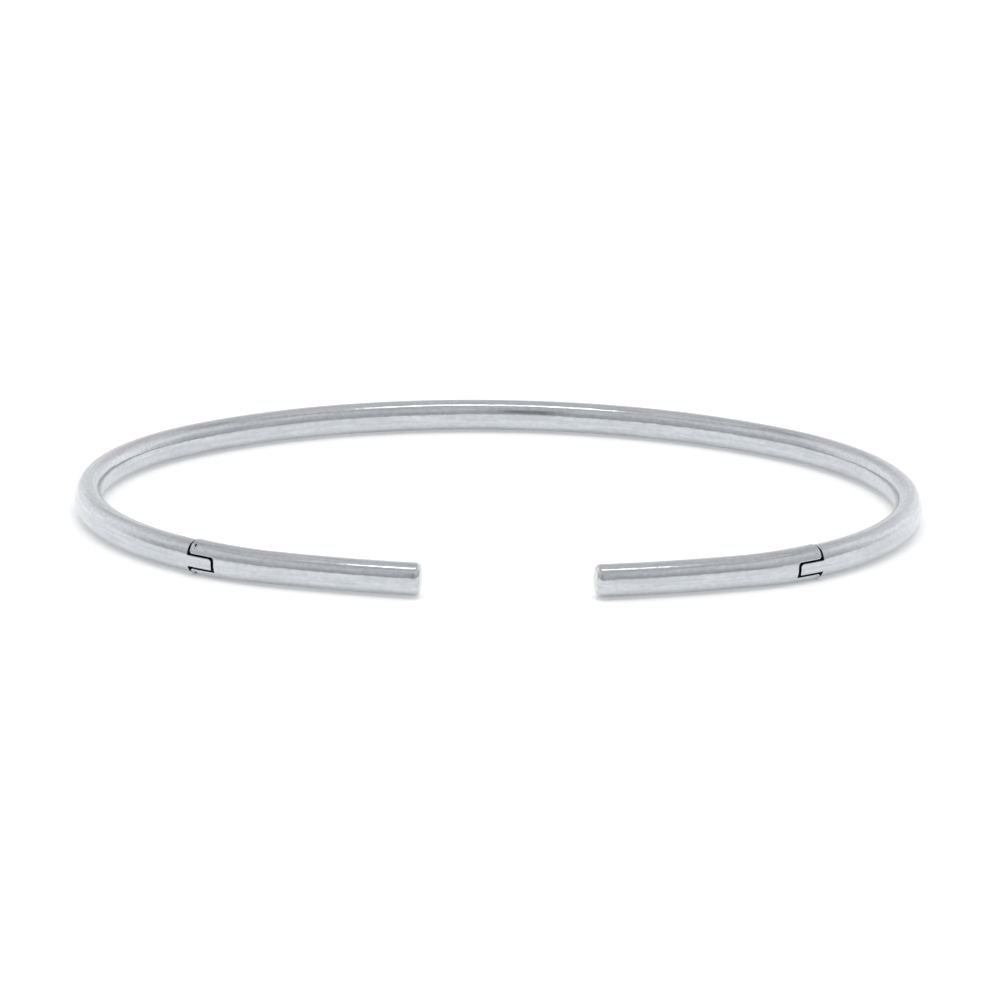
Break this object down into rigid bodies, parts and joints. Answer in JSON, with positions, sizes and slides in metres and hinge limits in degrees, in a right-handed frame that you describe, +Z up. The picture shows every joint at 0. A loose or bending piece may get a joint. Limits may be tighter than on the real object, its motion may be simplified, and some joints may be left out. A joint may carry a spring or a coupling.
{
  "type": "bangle bracelet",
  "caption": "Open oval bangle of slim polished rounded wire with sprung hinged end pieces either side of a gap at the front.",
  "frame": {"origin": "centre of the bangle's outline seen from above, on the surface it lies on", "axes": "+Z up along the wrist axis, +Y towards the back of the band, -Y towards the gap between the tips, X along the widest line"},
  "size_m": [0.064, 0.0514, 0.0026],
  "materials": {
    "silver": "polished silver",
    "pin_metal": "polished flush",
    "steel": "drawn spring steel"
  },
  "bodies": {
    "bangle": {"band": "silver", "left_hinge_block": "silver", "right_hinge_block": "silver"},
    "left_tip": {"left_fork": "silver", "left_tip_bar": "silver", "left_hinge_pin": "pin_metal", "left_spring": "steel"},
    "right_tip": {"right_fork": "silver", "right_tip_bar": "silver", "right_hinge_pin": "pin_metal", "right_spring": "steel"},
    "left_cam_plunger": {"left_plunger": "steel"},
    "right_cam_plunger": {"right_plunger": "steel"}
  },
  "joints": [
    {"name": "left_tip_hinge", "type": "hinge", "parent": "bangle", "child": "left_tip", "pos_m": [-0.02251, -0.01972, 0.0013], "axis": [0, 0, -1], "range_deg": [0, 40], "stiffness_Nm_per_rad": 0.0013, "springref_deg": -45.84},
    {"name": "right_tip_hinge", "type": "hinge", "parent": "bangle", "child": "right_tip", "pos_m": [0.02251, -0.01972, 0.0013], "axis": [0, 0, 1], "range_deg": [0, 40], "stiffness_Nm_per_rad": 0.0013, "springref_deg": -45.84},
    {"name": "left_plunger_slide", "type": "slide", "parent": "left_tip", "child": "left_cam_plunger", "axis": [0.7848, -0.6198, 0], "range_m": [0, 0.00046], "deforming": ["left_spring"]},
    {"name": "right_plunger_slide", "type": "slide", "parent": "right_tip", "child": "right_cam_plunger", "axis": [-0.7848, -0.6198, 0], "range_m": [0, 0.00046], "deforming": ["right_spring"]}
  ],
  "couplings": [
    {"joint": "left_plunger_slide", "follows": "left_tip_hinge", "m_per_rad": 0.00065},
    {"joint": "right_plunger_slide", "follows": "right_tip_hinge", "m_per_rad": 0.00065}
  ]
}
